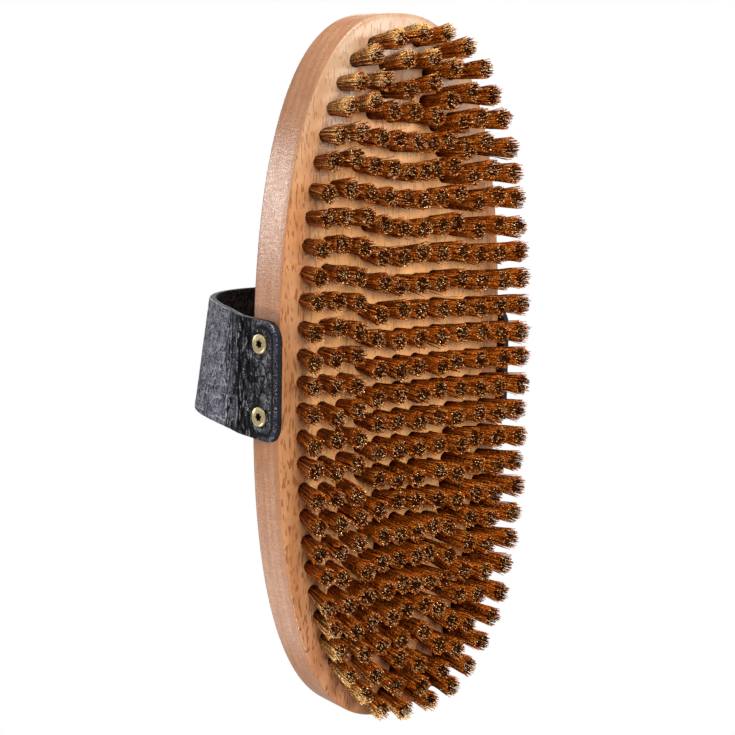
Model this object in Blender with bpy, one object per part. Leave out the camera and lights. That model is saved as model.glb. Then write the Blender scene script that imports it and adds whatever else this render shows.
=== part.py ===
# Hand-held body brush: an oval beech block with a field of bronze wire bristles and a leather hand strap.
# It stands on its bristle tips. X runs across the block, Y along it, and Z up through the strap's bow.
# All sizes are in metres.
import math

import bmesh
import bpy
import numpy as np
from mathutils import Matrix, Vector
from mathutils.geometry import delaunay_2d_cdt

# Block
BLOCK_LENGTH = 0.180
BLOCK_WIDTH = 0.0675
BLOCK_THICKNESS = 0.015
OUTLINE_POWER = 2.5
OUTLINE_STEPS = 72
FACE_EDGE_FALL = 0.0017
FACE_FALL_POWER = 8.0
FACE_STEPS = 3
BACK_EDGE_RADIUS = 0.0012
BACK_EDGE_STEPS = 3

# Bristles: oval rings of tufts, each tuft a wire bundle folded into two legs, with one straight row inside
TRIM_HEIGHT = 0.011
RING_COUNT = 5
RING_INSET = 0.006
RING_END_PITCH = 0.0060
MIDDLE_ROW_GAP = 0.00575
ALIGNED_RINGS = 3
RINGS_PER_BAND = 2
TUFT_PITCH = 0.0068
TUFT_ROOT = 0.0030
TUFT_TIP = 0.0044
LEG_GAP = 0.0003
LEG_SIDES = 3
SIDE_LEAN_DEG = 16.5
END_LEAN_DEG = 6.0
BACKING_DEPTH = 0.0016

# Strap
STRAP_WIDTH = 0.030
STRAP_THICKNESS = 0.0019
STRAP_CORNER_RADIUS = 0.005
STRAP_CORNER_STEPS = 4
STRAP_OVERHANG = 0.002
STRAP_LEG_RISE = 0.003
STRAP_LEAN = 0.0035
STRAP_SHOULDER_PULL = 0.019
STRAP_CROWN_PULL = 0.033
STRAP_BOW_HEIGHT = 0.0495
STRAP_BOW_STEPS = 12

# Strap screws: countersunk, with a six-lobed recess
SCREW_FROM_EDGE = 0.0059
SCREW_BELOW_BACK = 0.0075
SCREW_TILT_DEG = 12.0
SCREW_PROUD = 0.0003
SCREW_LENGTH = 0.013
SCREW_POINT = 0.003
SCREW_RADIUS = 0.00125
HEAD_RADIUS = 0.0025
HEAD_RIM = 0.0003
HEAD_CONE = 0.0012
RECESS_RADIUS = 0.00095
RECESS_LOBE = 0.0003
RECESS_DEPTH = 0.0008
RECESS_LOBES = 6
SCREW_SIDES = 24

# Clearance that every touching pair keeps
FIT_GAP = 0.0003

# Reach of a cutter past the surface that it opens
CUT_REACH = 0.004

# Mesh settings: edges sharper than this stay crisp, and points closer than this are one
SHARP_DEG = 35.0
MERGE_LIMIT = 1e-9

# Places that follow from the sizes above
HALF_WIDTH = BLOCK_WIDTH / 2
HALF_LENGTH = BLOCK_LENGTH / 2
RING_PITCH = (HALF_WIDTH - RING_INSET - MIDDLE_ROW_GAP) / (RING_COUNT - 1)
BACK_Z = TRIM_HEIGHT + BLOCK_THICKNESS
CREASE_Z = TRIM_HEIGHT + FACE_EDGE_FALL
FLOOR_Z = TRIM_HEIGHT + BACKING_DEPTH
STRAP_X = HALF_WIDTH + FIT_GAP + STRAP_THICKNESS / 2
STRAP_END_Z = CREASE_Z - STRAP_OVERHANG
SCREW_Y = STRAP_WIDTH / 2 - SCREW_FROM_EDGE
FINE_STEPS = 1440


def clear_scene():
    for item in list(bpy.data.objects):
        bpy.data.objects.remove(item, do_unlink=True)


def finish(name, colour, roughness, metallic):
    material = bpy.data.materials.new(name)
    material.use_nodes = True
    shader = material.node_tree.nodes["Principled BSDF"]
    shader.inputs["Base Color"].default_value = (*colour, 1.0)
    shader.inputs["Roughness"].default_value = roughness
    shader.inputs["Metallic"].default_value = metallic
    return material


def add_object(name, shape, parent, place=None):
    bmesh.ops.recalc_face_normals(shape, faces=shape.faces)
    mesh = bpy.data.meshes.new(name)
    shape.to_mesh(mesh)
    shape.free()
    item = bpy.data.objects.new(name, mesh)
    bpy.context.collection.objects.link(item)
    item.parent = parent
    item.matrix_basis = place or Matrix.Identity(4)
    return item


def add_part(name, shape, material, parent, place=None):
    part = add_object(name, shape, parent, place)
    part.data.materials.append(material)
    part.data.shade_smooth()
    part.data.set_sharp_from_angle(angle=math.radians(SHARP_DEG))
    return part


def add_cutter(name, shape, parent, place=None):
    cutter = add_object(name, shape, parent, place)
    cutter.hide_render = True
    cutter.display_type = "WIRE"
    return cutter


def cut(part, cutter):
    modifier = part.modifiers.new(cutter.name, "BOOLEAN")
    modifier.operation = "DIFFERENCE"
    modifier.solver = "EXACT"
    modifier.object = cutter


# Outline

def oval_point(half_width, half_length, angle):
    across = math.cos(angle)
    along = math.sin(angle)
    power = 2 / OUTLINE_POWER
    x = math.copysign(abs(across) ** power, across) * half_width
    y = math.copysign(abs(along) ** power, along) * half_length
    return x, y


# Angles that step evenly along an oval's edge, starting the given share of a step past its +X side
def even_angles(half_width, half_length, count, phase=0.0):
    angles = np.linspace(0.0, 2 * math.pi, FINE_STEPS + 1)
    points = np.array([oval_point(half_width, half_length, angle) for angle in angles])
    travelled = np.concatenate([[0.0], np.cumsum(np.linalg.norm(np.diff(points, axis=0), axis=1))])
    wanted = (np.arange(count) + phase) * travelled[-1] / count
    return np.interp(wanted, travelled, angles)


def oval_perimeter(half_width, half_length):
    angles = np.linspace(0.0, 2 * math.pi, FINE_STEPS + 1)
    points = np.array([oval_point(half_width, half_length, angle) for angle in angles])
    return np.linalg.norm(np.diff(points, axis=0), axis=1).sum()


def oval_loop(half_width, half_length):
    return [oval_point(half_width, half_length, angle)
            for angle in even_angles(HALF_WIDTH, HALF_LENGTH, OUTLINE_STEPS)]


# Height of the bristle face, which falls away towards the block's edge
def face_z(x, y):
    reach = (abs(x / HALF_WIDTH) ** OUTLINE_POWER + abs(y / HALF_LENGTH) ** OUTLINE_POWER)
    return TRIM_HEIGHT + FACE_EDGE_FALL * min(1.0, reach ** (1 / OUTLINE_POWER)) ** FACE_FALL_POWER


# Half sizes of the oval that runs through a ring of tufts, or between two rings for a half number
def ring_halves(ring):
    return HALF_WIDTH - RING_INSET - ring * RING_PITCH, HALF_LENGTH - RING_INSET - ring * RING_END_PITCH


# Shrinks or grows the oval at a ring position by a margin on every side
def ring_loop(ring, margin):
    half_width, half_length = ring_halves(ring)
    return oval_loop(half_width + margin, half_length + margin)


# Block

def bridge(shape, first, second):
    for step in range(len(first)):
        after = (step + 1) % len(first)
        shape.faces.new((first[step], first[after], second[after], second[step]))


# Closes a loop with flat strips across X, between its points at the same place along Y
def fill_across(shape, loop):
    half = len(loop) // 2
    end = half // 2
    for step in range(1 - end, end - 1):
        shape.faces.new((loop[step], loop[step + 1], loop[half - step - 1], loop[half - step]))
    for middle in (end, -end):
        shape.faces.new((loop[middle - 1], loop[middle], loop[middle + 1]))


def block_shape():
    loops = []
    for step in range(BACK_EDGE_STEPS + 1):
        turn = math.pi / 2 * step / BACK_EDGE_STEPS
        inset = BACK_EDGE_RADIUS * (1 - math.sin(turn))
        height = BACK_Z - BACK_EDGE_RADIUS * (1 - math.cos(turn))
        loops.append([(x, y, height) for x, y in oval_loop(HALF_WIDTH - inset, HALF_LENGTH - inset)])
    mouth_width, mouth_length = ring_halves(-0.5)
    for step in range(FACE_STEPS + 1):
        share = step / FACE_STEPS
        width = HALF_WIDTH + (mouth_width + FIT_GAP - HALF_WIDTH) * share
        length = HALF_LENGTH + (mouth_length + FIT_GAP - HALF_LENGTH) * share
        loops.append([(x, y, face_z(x, y)) for x, y in oval_loop(width, length)])
    loops.append([(x, y, FLOOR_Z + FIT_GAP) for x, y in ring_loop(-0.5, FIT_GAP)])
    shape = bmesh.new()
    rows = [[shape.verts.new(point) for point in loop] for loop in loops]
    for upper, lower in zip(rows, rows[1:]):
        bridge(shape, upper, lower)
    fill_across(shape, rows[0])
    fill_across(shape, rows[-1])
    return shape


# Bristles

# Centre of each tuft with the direction of its ring there
def ring_tufts(ring):
    half_width, half_length = ring_halves(ring)
    wanted = oval_perimeter(half_width, half_length) / TUFT_PITCH
    aligned = ring < ALIGNED_RINGS
    count = 2 * round((wanted - 1) / 2) + 1 if aligned else 2 * round(wanted / 2)
    angles = even_angles(half_width, half_length, count, 0.0 if aligned else 0.5)
    points = [Vector(oval_point(half_width, half_length, angle)) for angle in angles]
    return [(point, (points[(step + 1) % count] - points[step - 1]).normalized())
            for step, point in enumerate(points)]


# The straight row of tufts along the middle of the innermost ring
def middle_tufts(ring):
    half_length = ring_halves(ring)[1]
    pairs = math.floor(half_length / TUFT_PITCH + 0.5)
    return [(Vector((0.0, side * (step + 0.5) * TUFT_PITCH)), Vector((0.0, 1.0)))
            for step in range(pairs) for side in (-1, 1)]


# Where a point of the face lies at the trimmed tips, which lean outwards all round
def spread(point):
    half_width, half_length = ring_halves(0)
    side = TRIM_HEIGHT * math.tan(math.radians(SIDE_LEAN_DEG)) / half_width
    end = TRIM_HEIGHT * math.tan(math.radians(END_LEAN_DEG)) / half_length
    return Vector((point.x * (1 + side), point.y * (1 + end)))


# Corners of one leg of a tuft: a flat side faces the other leg across the gap
def leg_corners(centre, direction, side, tuft_size):
    radius = (tuft_size - LEG_GAP) / (2 + 2 * math.cos(math.pi / LEG_SIDES))
    middle = centre + direction * side * (tuft_size / 2 - radius)
    turns = [2 * math.pi * corner / LEG_SIDES for corner in range(LEG_SIDES)]
    return [middle + Matrix.Rotation(turn, 2) @ (direction * side * radius) for turn in turns]


# A slice of the block's face between two ovals, with the legs of its tufts standing out of it
def band_shape(outer, inner, tufts):
    legs = [(leg_corners(centre, direction, side, TUFT_ROOT),
             leg_corners(spread(centre), direction, side, TUFT_TIP))
            for centre, direction in tufts for side in (-1, 1)]
    outlines = [outer] + ([inner] if inner else [])
    points = [Vector(point) for outline in outlines for point in outline]
    polygons = []
    for outline_number, outline in enumerate(outlines):
        start = outline_number * OUTLINE_STEPS
        polygons.append([start + step for step in range(len(outline))])
    for roots, _ in legs:
        polygons.append([len(points) + corner for corner in range(LEG_SIDES)])
        points.extend(roots)
    flat, _, triangles, came_from, _, regions = delaunay_2d_cdt(points, [], polygons, 1, MERGE_LIMIT)
    shape = bmesh.new()
    placed = [shape.verts.new((point.x, point.y, face_z(point.x, point.y))) for point in flat]
    face_vert = {origin: placed[number] for number, origins in enumerate(came_from) for origin in origins}
    for triangle, region in zip(triangles, regions):
        if region == [0]:
            shape.faces.new([placed[corner] for corner in triangle])
    seats = []
    for outline, polygon in zip(outlines, polygons):
        seats.append([shape.verts.new((x, y, FLOOR_Z)) for x, y in outline])
        bridge(shape, [face_vert[corner] for corner in polygon], seats[-1])
    if inner:
        bridge(shape, seats[0], seats[1])
    else:
        shape.faces.new(seats[0])
    for corners, (_, tips) in zip(polygons[len(outlines):], legs):
        ends = [shape.verts.new((tip.x, tip.y, 0.0)) for tip in tips]
        bridge(shape, [face_vert[corner] for corner in corners], ends)
        shape.faces.new(ends)
    return shape


def add_bristles(material, parent):
    for band, first in enumerate(range(0, RING_COUNT, RINGS_PER_BAND)):
        after = first + RINGS_PER_BAND
        innermost = after >= RING_COUNT
        tufts = [tuft for ring in range(first, min(after, RING_COUNT)) for tuft in ring_tufts(ring)]
        if innermost:
            tufts += middle_tufts(RING_COUNT)
        outer_margin = 0.0 if first == 0 else -FIT_GAP / 2
        inner = None if innermost else ring_loop(after - 0.5, FIT_GAP / 2)
        shape = band_shape(ring_loop(first - 0.5, outer_margin), inner, tufts)
        add_part(f"bristle_band_{band + 1}", shape, material, parent)


# Strap

# Middle of the strap's thickness along a smooth curve, from above the block's back to the crown
def bow_point(share):
    start = Vector((STRAP_X, BACK_Z + STRAP_LEG_RISE))
    crown = Vector((0.0, BACK_Z + STRAP_BOW_HEIGHT))
    shoulder = start + Vector((-STRAP_LEAN, STRAP_SHOULDER_PULL))
    pull = crown + Vector((STRAP_CROWN_PULL, 0.0))
    left = 1 - share
    lower = left ** 3 * start + 3 * left ** 2 * share * shoulder
    upper = 3 * left * share ** 2 * pull + share ** 3 * crown
    return lower + upper


# Stations along half of the strap, from its end to its crown: place in XZ and half width
def strap_stations():
    stations = []
    for step in range(STRAP_CORNER_STEPS + 1):
        turn = math.pi / 2 * step / STRAP_CORNER_STEPS
        height = STRAP_END_Z + STRAP_CORNER_RADIUS * (1 - math.cos(turn))
        half = STRAP_WIDTH / 2 - STRAP_CORNER_RADIUS * (1 - math.sin(turn))
        stations.append((Vector((STRAP_X, height)), half))
    for step in range(STRAP_BOW_STEPS + 1):
        stations.append((bow_point(step / STRAP_BOW_STEPS), STRAP_WIDTH / 2))
    return stations


def strap_shape():
    half = strap_stations()
    other = [(Vector((-place.x, place.y)), width) for place, width in reversed(half[:-1])]
    shape = bmesh.new()
    rows = [[shape.verts.new((place.x, side * width, place.y - BACK_Z)) for side in (-1, 1)]
            for place, width in half + other]
    for row, after in zip(rows, rows[1:]):
        shape.faces.new((row[0], row[1], after[1], after[0]))
    return shape


def add_strap(material, parent):
    strap = add_part("hand_strap", strap_shape(), material, parent, Matrix.Translation((0, 0, BACK_Z)))
    skin = strap.modifiers.new("thickness", "SOLIDIFY")
    skin.thickness = STRAP_THICKNESS
    skin.offset = 0.0
    skin.use_even_offset = True
    return strap


# Screws

# Rows of points stacked along Z: the first is closed by a flat face, the last one shrinks to the point
def screw_shape(rows, point_z):
    shape = bmesh.new()
    placed = [[shape.verts.new(point) for point in row] for row in rows]
    for upper, lower in zip(placed, placed[1:]):
        bridge(shape, upper, lower)
    shape.faces.new(placed[0])
    point = shape.verts.new((0, 0, point_z))
    for side in range(SCREW_SIDES):
        shape.faces.new((placed[-1][side - 1], placed[-1][side], point))
    return shape


# One row round the screw's axis, drawn in between lobes where a lobe depth is given
def screw_row(radius, height, lobe=0.0):
    row = []
    for side in range(SCREW_SIDES):
        turn = 2 * math.pi * side / SCREW_SIDES
        reach = radius - lobe * (1 - math.cos(RECESS_LOBES * turn)) / 2
        row.append((reach * math.cos(turn), reach * math.sin(turn), height))
    return row


# Head and shank from the rim down, grown all round for the hole that takes them
def shank_rows(gap):
    return [screw_row(HEAD_RADIUS + gap, -HEAD_RIM - gap),
            screw_row(SCREW_RADIUS + gap, -HEAD_RIM - HEAD_CONE - gap),
            screw_row(SCREW_RADIUS + gap, SCREW_POINT - SCREW_LENGTH - gap)]


def screw_body():
    recess_floor = screw_row(RECESS_RADIUS, -RECESS_DEPTH, RECESS_LOBE)
    recess_mouth = screw_row(RECESS_RADIUS, 0.0, RECESS_LOBE)
    rows = [recess_floor, recess_mouth, screw_row(HEAD_RADIUS, 0.0)] + shank_rows(0.0)
    return screw_shape(rows, -SCREW_LENGTH)


def screw_hole():
    mouth = screw_row(HEAD_RADIUS + FIT_GAP, CUT_REACH)
    return screw_shape([mouth] + shank_rows(FIT_GAP), -SCREW_LENGTH - FIT_GAP)


# The head's face points outwards and leans a little towards the bristles
def screw_place(side, end):
    outer_x = STRAP_X + STRAP_THICKNESS / 2
    seat = Vector((side * outer_x, end * SCREW_Y, BACK_Z - SCREW_BELOW_BACK))
    turn = Matrix.Rotation(side * (math.pi / 2 + math.radians(SCREW_TILT_DEG)), 4, "Y")
    return Matrix.Translation(seat) @ turn @ Matrix.Translation((0, 0, SCREW_PROUD))


def add_screws(material, parent, holed_parts):
    for side, side_name in ((1, "right"), (-1, "left")):
        for end, end_name in ((1, "front"), (-1, "rear")):
            name = f"{side_name}_{end_name}"
            place = screw_place(side, end)
            add_part(f"strap_screw_{name}", screw_body(), material, parent, place)
            hole = add_cutter(f"hole_cut_{name}", screw_hole(), parent, place)
            for part in holed_parts:
                cut(part, hole)


def build():
    clear_scene()
    beech = finish("beech", (0.57, 0.29, 0.15), 0.42, 0.0)
    bronze = finish("bronze_wire", (0.42, 0.23, 0.06), 0.38, 1.0)
    leather = finish("black_leather", (0.035, 0.035, 0.042), 0.55, 0.0)
    brass = finish("brass", (0.72, 0.58, 0.28), 0.3, 1.0)
    brush = bpy.data.objects.new("brush", None)
    bpy.context.collection.objects.link(brush)
    block = add_part("brush_block", block_shape(), beech, brush)
    add_bristles(bronze, brush)
    strap = add_strap(leather, brush)
    add_screws(brass, brush, (block, strap))


build()
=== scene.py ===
# Looks of the oval dry brush: beech block, bronze wire tufts, leather hand strap and brass screws.
# Metres, Z up. The brush stands on its tips, and the photograph looks up at them from under the floor.
import math

import bmesh
import bpy
import numpy as np
from mathutils import Matrix, Vector, noise
from mathutils.geometry import delaunay_2d_cdt


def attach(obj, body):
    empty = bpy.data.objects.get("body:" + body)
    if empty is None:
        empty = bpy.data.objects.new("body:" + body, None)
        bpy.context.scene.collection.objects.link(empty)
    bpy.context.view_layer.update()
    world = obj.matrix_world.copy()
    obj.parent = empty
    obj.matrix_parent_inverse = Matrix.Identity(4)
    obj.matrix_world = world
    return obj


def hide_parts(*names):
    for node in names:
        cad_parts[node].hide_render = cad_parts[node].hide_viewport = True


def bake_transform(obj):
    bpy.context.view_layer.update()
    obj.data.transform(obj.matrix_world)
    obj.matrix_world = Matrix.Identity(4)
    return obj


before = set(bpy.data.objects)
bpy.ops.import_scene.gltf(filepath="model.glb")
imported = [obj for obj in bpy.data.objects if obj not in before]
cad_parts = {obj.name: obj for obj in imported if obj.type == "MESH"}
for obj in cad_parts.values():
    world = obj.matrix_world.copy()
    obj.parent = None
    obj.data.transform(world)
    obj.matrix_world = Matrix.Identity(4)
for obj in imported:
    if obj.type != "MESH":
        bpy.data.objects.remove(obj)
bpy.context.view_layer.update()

# sizes that several pieces share
brush = dict(halfWidth=0.03375, halfLength=0.090, ovalPower=2.5, tipZ=0.0, faceZ=0.011, backZ=0.026)


# one pin of a node tree: sums on pins add Math nodes, node() makes any other node
class Pin:
    def __init__(self, tree, socket=None):
        self.tree = tree
        self.socket = socket

    def node(self, kind, settings=None, inputs=None, output=0):
        made = self.tree.nodes.new(kind)
        for name, value in (settings or {}).items():
            if name == "stops":
                fillRamp(made.color_ramp, value)
            else:
                setattr(made, name, value)
        for key, value in (inputs or {}).items():
            if isinstance(value, Pin):
                self.tree.links.new(value.socket, made.inputs[key])
            else:
                made.inputs[key].default_value = value
        return Pin(self.tree, made.outputs[output] if len(made.outputs) else None)

    def out(self, name):
        return Pin(self.tree, self.socket.node.outputs[name])

    def math(self, operation, first, second=0.0):
        return self.node("ShaderNodeMath", {"operation": operation}, {0: first, 1: second})

    def __add__(self, other):
        return self.math("ADD", self, other)

    def __sub__(self, other):
        return self.math("SUBTRACT", self, other)

    def __rsub__(self, other):
        return self.math("SUBTRACT", other, self)

    def __mul__(self, other):
        return self.math("MULTIPLY", self, other)

    def __truediv__(self, other):
        return self.math("DIVIDE", self, other)

    def __pow__(self, other):
        return self.math("POWER", self, other)

    __radd__ = __add__
    __rmul__ = __mul__

    def sine(self):
        return self.math("SINE", self)

    def cosine(self):
        return self.math("COSINE", self)

    # 0 below low, 1 above high, smooth between
    def rise(self, low, high):
        return self.node("ShaderNodeMapRange", {"interpolation_type": "SMOOTHSTEP"},
                         {"Value": self, "From Min": low, "From Max": high})

    def vector(self, operation, first, second):
        key = "Scale" if operation == "SCALE" else 1
        return self.node("ShaderNodeVectorMath", {"operation": operation}, {0: first, key: second})

    def join(self, x, y, z):
        return self.node("ShaderNodeCombineXYZ", {}, {0: x, 1: y, 2: z})

    # colour b over colour a by the share, or b blended into a
    def tint(self, share, a, b, blend="MIX"):
        return self.node("ShaderNodeMix", {"data_type": "RGBA", "blend_type": blend}, {0: share, 6: a, 7: b}, 2)

    def noise(self, place, sizes, detail=2.0, rough=0.5, warp=0.0):
        scaled = self.node("ShaderNodeMapping", {}, {"Vector": place, "Scale": tuple(1 / s for s in sizes)})
        return self.node("ShaderNodeTexNoise", {}, {
            "Vector": scaled, "Scale": 1.0, "Detail": detail, "Roughness": rough, "Distortion": warp})

    def bump(self, height, strength, distance, normal=None):
        inputs = {"Height": height, "Strength": strength, "Distance": distance}
        if normal is not None:
            inputs["Normal"] = normal
        return self.node("ShaderNodeBump", {}, inputs)


def fillRamp(ramp, stops):
    while len(ramp.elements) < len(stops):
        ramp.elements.new(0.5)
    for element, (position, colour) in zip(ramp.elements, stops):
        element.position = position
        element.color = (*colour, 1.0)


# a finish with its fixed values on the shader itself: the Principled node's name for each socket
def newFinish(name, **fixed):
    finish = bpy.data.materials.new(name)
    finish.use_nodes = True
    shader = finish.node_tree.nodes["Principled BSDF"]
    for key, value in fixed.items():
        shader.inputs[key.replace("_", " ")].default_value = value
    return finish, Pin(finish.node_tree), shader


def feed(shader, **pins):
    for key, pin in pins.items():
        pin.tree.links.new(pin.socket, shader.inputs[key.replace("_", " ")])


def addPiece(name, mesh, finishes):
    piece = bpy.data.objects.new(name, mesh)
    bpy.context.scene.collection.objects.link(piece)
    for finish in finishes:
        mesh.materials.append(finish)
    return piece


def meshOf(name, shape, sharpDegrees):
    bmesh.ops.recalc_face_normals(shape, faces=shape.faces)
    mesh = bpy.data.meshes.new(name)
    shape.to_mesh(mesh)
    shape.free()
    mesh.shade_smooth()
    mesh.set_sharp_from_angle(angle=math.radians(sharpDegrees))
    return mesh


def bridge(shape, first, second, closed=True):
    count = len(first)
    for step in range(count if closed else count - 1):
        after = (step + 1) % count
        shape.faces.new((first[step], first[after], second[after], second[step]))


def smooth(value, low, high):
    share = min(1.0, max(0.0, (value - low) / (high - low)))
    return share * share * (3 - 2 * share)


# the photograph's camera: turns of the brush in its picture, distance and drift from its middle
photo = dict(yaw=34.36, pitch=8.86, roll=-1.02, distance=0.47232, driftRight=0.007328, driftUp=-0.001677,
             lens=91.25, sensor=36.0)


def addCamera():
    turn = (Matrix.Rotation(math.radians(photo["roll"]), 3, "Z")
            @ Matrix.Rotation(math.radians(photo["pitch"]), 3, "X")
            @ Matrix.Rotation(math.radians(photo["yaw"]), 3, "Y"))
    flip = Matrix.Rotation(math.pi, 3, "Y")  # the picture's frame looks at the tips
    axes = flip @ turn.transposed()
    away = axes @ Vector((-photo["driftRight"], -photo["driftUp"], photo["distance"]))
    data = bpy.data.cameras.new("photoCamera")
    data.lens = photo["lens"]
    data.sensor_width = photo["sensor"]
    data.clip_start = 0.01
    data.clip_end = 50
    camera = bpy.data.objects.new("photoCamera", data)
    camera.matrix_world = Matrix.Translation(away + Vector((0, 0, brush["faceZ"]))) @ axes.to_4x4()
    bpy.context.scene.collection.objects.link(camera)
    bpy.context.scene.camera = camera
    return axes


photoAxes = addCamera()
print("camera placed")


# outline of the block and the rings of tufts on it
def ovalPoint(halfWidth, halfLength, angle):
    across, along = math.cos(angle), math.sin(angle)
    power = 2 / brush["ovalPower"]
    return (math.copysign(abs(across) ** power, across) * halfWidth,
            math.copysign(abs(along) ** power, along) * halfLength)


def ovalRun(halfWidth, halfLength, fine=1440):
    angles = np.linspace(0.0, 2 * math.pi, fine + 1)
    points = np.array([ovalPoint(halfWidth, halfLength, angle) for angle in angles])
    travelled = np.concatenate([[0.0], np.cumsum(np.linalg.norm(np.diff(points, axis=0), axis=1))])
    return angles, travelled


def evenOval(halfWidth, halfLength, count, phase=0.0):
    angles, travelled = ovalRun(halfWidth, halfLength)
    wanted = (np.arange(count) + phase) * travelled[-1] / count
    return [ovalPoint(halfWidth, halfLength, angle) for angle in np.interp(wanted, travelled, angles)]


tuftLayout = dict(rings=5, inset=0.006, pitch=0.0055, endPitch=0.006, alignedRings=3, tuftPitch=0.0068,
                  sideLean=16.5, endLean=6.0)


def ringHalves(ring):
    return (brush["halfWidth"] - tuftLayout["inset"] - ring * tuftLayout["pitch"],
            brush["halfLength"] - tuftLayout["inset"] - ring * tuftLayout["endPitch"])


def ringTufts(ring):
    halves = ringHalves(ring)
    wanted = ovalRun(*halves)[1][-1] / tuftLayout["tuftPitch"]
    aligned = ring < tuftLayout["alignedRings"]
    count = 2 * round((wanted - 1) / 2) + 1 if aligned else 2 * round(wanted / 2)
    return evenOval(*halves, count, 0.0 if aligned else 0.5)


def middleTufts():
    pitch = tuftLayout["tuftPitch"]
    pairs = math.floor(ringHalves(tuftLayout["rings"])[1] / pitch + 0.5)
    return [(0.0, side * (step + 0.5) * pitch) for step in range(pairs) for side in (-1, 1)]


def atTips(x, y):
    halfWidth, halfLength = ringHalves(0)
    rise = brush["faceZ"] - brush["tipZ"]
    side = rise * math.tan(math.radians(tuftLayout["sideLean"])) / halfWidth
    end = rise * math.tan(math.radians(tuftLayout["endLean"])) / halfLength
    return x * (1 + side), y * (1 + end)


tuftRows = [ringTufts(ring) for ring in range(tuftLayout["rings"])] + [middleTufts()]
allTufts = [tuft for row in tuftRows for tuft in row]
print("tufts laid out:", [len(row) for row in tuftRows])


# beech block: straight wall, soft back edge, face that falls away at its border, a drilled hole for each tuft
block = dict(edgeFall=0.0017, fallPower=8.0, backRadius=0.0012, creaseRadius=0.00045, outlineSteps=288,
             holeRadius=0.0017, holeDepth=0.0016, holeLip=0.00012, holeSides=14, grid=0.0017, gridDepth=0.0115)


def faceHeight(x, y):
    power = brush["ovalPower"]
    reach = (abs(x / brush["halfWidth"]) ** power + abs(y / brush["halfLength"]) ** power) ** (1 / power)
    return brush["faceZ"] + block["edgeFall"] * min(1.0, reach) ** block["fallPower"]


def insetOval(inset, count):
    return evenOval(brush["halfWidth"] - inset, brush["halfLength"] - inset, count)


# rings of the wall from the back to the face: inset from the outline and height
def wallLoops():
    back, soft = block["backRadius"], block["creaseRadius"]
    loops = []
    for step in range(7):
        turn = math.pi / 2 * step / 6
        loops.append((back * (1 - math.sin(turn)), brush["backZ"] - back * (1 - math.cos(turn))))
    top, crease = brush["backZ"] - back, brush["faceZ"] + block["edgeFall"]
    for step in range(1, 6):
        loops.append((0.0, top + (crease + soft - top) * step / 5))
    for turn in (0.25, 0.5, 0.75):
        loops.append((soft * turn ** 2, crease + soft * (1 - turn) ** 2))
    return loops


def blockShape():
    shape = bmesh.new()
    rows = []
    for inset, height in wallLoops():
        rows.append([shape.verts.new((x, y, height)) for x, y in insetOval(inset, block["outlineSteps"])])
    for upper, lower in zip(rows, rows[1:]):
        bridge(shape, upper, lower)
    fillBack(shape, rows[0])
    border = insetOval(block["creaseRadius"], block["outlineSteps"])
    points = [Vector(point) for point in border]
    polygons = [list(range(len(border)))]
    lipRadius = block["holeRadius"] + block["holeLip"]
    turns = [2 * math.pi * side / block["holeSides"] for side in range(block["holeSides"])]
    for x, y in allTufts:
        polygons.append([len(points) + side for side in range(block["holeSides"])])
        points += [Vector((x + lipRadius * math.cos(t), y + lipRadius * math.sin(t))) for t in turns]
    points += facePoints(lipRadius)
    flat, _, triangles, cameFrom, _, regions = delaunay_2d_cdt(points, [], polygons, 1, 1e-9)
    placed = [shape.verts.new((p.x, p.y, faceHeight(p.x, p.y))) for p in flat]
    at = {origin: placed[number] for number, origins in enumerate(cameFrom) for origin in origins}
    for triangle, region in zip(triangles, regions):
        if region == [0]:
            shape.faces.new([placed[corner] for corner in triangle])
    bridge(shape, rows[-1], [at[corner] for corner in polygons[0]])
    for (x, y), rim in zip(allTufts, polygons[1:]):
        drillHole(shape, x, y, [at[corner] for corner in rim], turns)
    return shape


# loose points that carry the curve of the face between the holes
def facePoints(lipRadius):
    found = []
    holes = np.array(allTufts)
    inset = block["creaseRadius"]
    while inset < block["gridDepth"]:
        inset += block["grid"] * (0.5 if inset < 0.003 else 1.0)
        halves = brush["halfWidth"] - inset, brush["halfLength"] - inset
        count = round(ovalRun(*halves)[1][-1] / block["grid"])
        for point in evenOval(*halves, count, 0.5 * (len(found) % 2)):
            if np.min(np.hypot(*(holes - point).T)) > lipRadius + block["grid"] / 4:
                found.append(Vector(point))
    return found


def drillHole(shape, x, y, rim, turns):
    last = rim
    for depth in (block["holeLip"], block["holeDepth"]):
        height = faceHeight(x, y) + depth
        radius = block["holeRadius"]
        ring = [shape.verts.new((x + radius * math.cos(t), y + radius * math.sin(t), height)) for t in turns]
        bridge(shape, last, ring)
        last = ring
    shape.faces.new(last)


# closes the back with strips across X
def fillBack(shape, loop):
    half = len(loop) // 2
    end = half // 2
    for step in range(1 - end, end - 1):
        shape.faces.new((loop[step], loop[step + 1], loop[half - step - 1], loop[half - step]))
    for middle in (end, -end):
        shape.faces.new((loop[middle - 1], loop[middle], loop[middle + 1]))


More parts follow.
